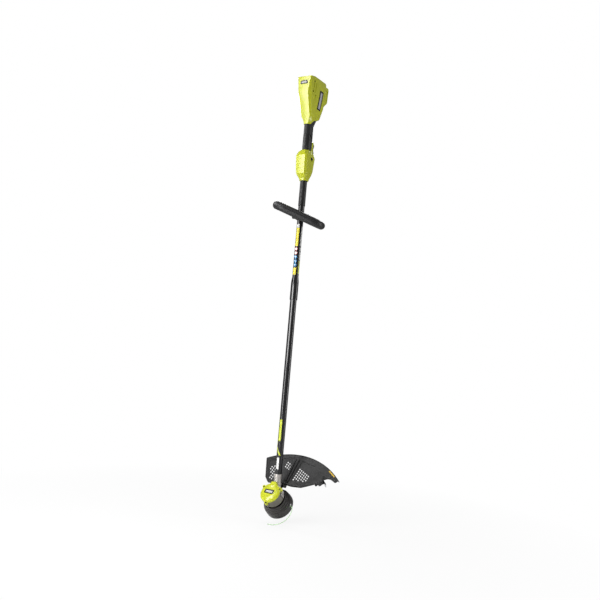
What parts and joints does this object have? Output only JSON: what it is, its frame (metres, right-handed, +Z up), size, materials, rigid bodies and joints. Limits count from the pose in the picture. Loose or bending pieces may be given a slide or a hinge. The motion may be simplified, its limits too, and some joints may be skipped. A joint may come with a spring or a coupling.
{
  "type": "string trimmer",
  "caption": "Battery string trimmer: rear housing with battery bay and grip, two-piece tube, loop handle, motor head, line spool and guard.",
  "frame": {"origin": "on the tube's axis, at the lower edge of the bell where the lower tube enters the upper tube", "axes": "+Z up along the tube to the battery housing, -Y towards the tool's upper side in use, +X towards its left side"},
  "size_m": [0.347, 0.2598, 1.8004],
  "materials": {
    "lime_plastic": "moulded, semi-gloss",
    "black_plastic": "moulded, fine grain",
    "grey_plastic": "moulded, semi-gloss dark grey",
    "soft_grip": "overmoulded, matte",
    "tube_paint": "gloss black",
    "can_paint": "satin dark silver",
    "cast_alloy": "satin",
    "bare_alloy": "milled",
    "steel": "bare",
    "screw_steel": "black oxide",
    "brass_blade": "tinned contact",
    "copper_wire": "enamelled",
    "green_board": "lacquered board",
    "spring_steel": "drawn",
    "green_nylon": "translucent line",
    "badge_plastic": "dark plate"
  },
  "bodies": {
    "trimmer": {"rear_housing_left": "lime_plastic", "rear_housing_right": "lime_plastic", "housing_screws": "screw_steel", "battery_receiver": "black_plastic", "terminal_block": "black_plastic", "battery_terminals": "brass_blade", "ejector_spring": "spring_steel", "controller_board": "green_board", "controller_heatsink": "bare_alloy", "side_badge_left": "badge_plastic", "side_badge_right": "badge_plastic", "front_badge": "badge_plastic", "grip_left": "soft_grip", "grip_right": "soft_grip", "lever_spring": "spring_steel", "trigger_pin": "steel", "trigger_switch": "black_plastic", "upper_tube": "tube_paint", "tube_sleeve": "black_plastic", "lower_tube": "tube_paint", "button_spring": "spring_steel", "motor_mount": "cast_alloy", "motor_housing": "can_paint", "motor_cap": "lime_plastic", "cap_screws": "screw_steel", "motor_badge": "badge_plastic", "motor_endplate": "bare_alloy", "motor_bearings": "steel", "motor_stator": "steel", "stator_coils": "copper_wire", "guard": "black_plastic", "guard_screws": "screw_steel", "cutter_bracket": "black_plastic", "line_cutter": "steel", "cutter_screws": "screw_steel"},
    "trigger": {"trigger": "black_plastic"},
    "switch_plunger": {"switch_plunger": "grey_plastic"},
    "lockout_lever": {"lockout_lever": "black_plastic"},
    "speed_selector": {"speed_selector": "black_plastic"},
    "battery_ejector": {"battery_ejector": "black_plastic"},
    "snap_button": {"snap_button": "steel"},
    "handle_liner": {"handle_liner": "soft_grip"},
    "front_handle": {"front_handle": "black_plastic", "handle_grip": "soft_grip", "handle_clamp_cap": "black_plastic", "handle_clamp_screws": "screw_steel"},
    "spool": {"spool_housing": "grey_plastic", "spool_cover": "black_plastic", "line_eyelets": "steel", "motor_spindle": "steel", "motor_rotor": "steel", "spindle_nut": "steel", "bump_spring": "spring_steel", "cutting_line_a": "green_nylon", "cutting_line_b": "green_nylon"},
    "bump": {"spool_reel": "grey_plastic", "wound_line": "green_nylon", "bump_knob": "black_plastic"}
  },
  "joints": [
    {"name": "trigger_pivot", "type": "hinge", "parent": "trimmer", "child": "trigger", "pos_m": [0, 0.031, 0.649], "axis": [-1, 0, 0], "range_deg": [0, 12], "stiffness_Nm_per_rad": 0.4, "springref_deg": -8.59},
    {"name": "plunger_slide", "type": "slide", "parent": "trimmer", "child": "switch_plunger", "axis": [0, -1, 0], "range_m": [0, 0.006]},
    {"name": "lever_pivot", "type": "hinge", "parent": "trimmer", "child": "lockout_lever", "pos_m": [0, -0.008, 0.622], "axis": [-1, 0, 0], "range_deg": [0, 2.8], "stiffness_Nm_per_rad": 1.5, "springref_deg": -5.73, "deforming": ["lever_spring"]},
    {"name": "speed_slide", "type": "slide", "parent": "trimmer", "child": "speed_selector", "axis": [0, 0, -1], "range_m": [0, 0.005]},
    {"name": "ejector_slide", "type": "slide", "parent": "trimmer", "child": "battery_ejector", "axis": [0, 0, -1], "range_m": [0, 0.01], "stiffness_N_per_m": 600, "springref_m": -0.004, "deforming": ["ejector_spring"]},
    {"name": "button_slide", "type": "slide", "parent": "trimmer", "child": "snap_button", "axis": [0, -1, 0], "range_m": [0, 0.0035], "stiffness_N_per_m": 900, "springref_m": -0.003, "deforming": ["button_spring"]},
    {"name": "handle_slide", "type": "slide", "parent": "trimmer", "child": "handle_liner", "axis": [0, 0, 1], "range_m": [-0.015, 0.025]},
    {"name": "handle_turn", "type": "hinge", "parent": "handle_liner", "child": "front_handle", "pos_m": [0, 0, 0.341], "axis": [0, 0, 1], "range_deg": [-45, 30]},
    {"name": "spool_spin", "type": "hinge", "parent": "trimmer", "child": "spool", "pos_m": [0, 0, -0.797], "axis": [0, -0.809, 0.5878], "continuous": true},
    {"name": "bump_slide", "type": "slide", "parent": "spool", "child": "bump", "axis": [0, -0.809, 0.5878], "range_m": [0, 0.006], "stiffness_N_per_m": 700, "springref_m": -0.012, "deforming": ["bump_spring"]}
  ],
  "couplings": [
    {"joint": "plunger_slide", "follows": "trigger_pivot", "m_per_rad": 0.0282}
  ]
}
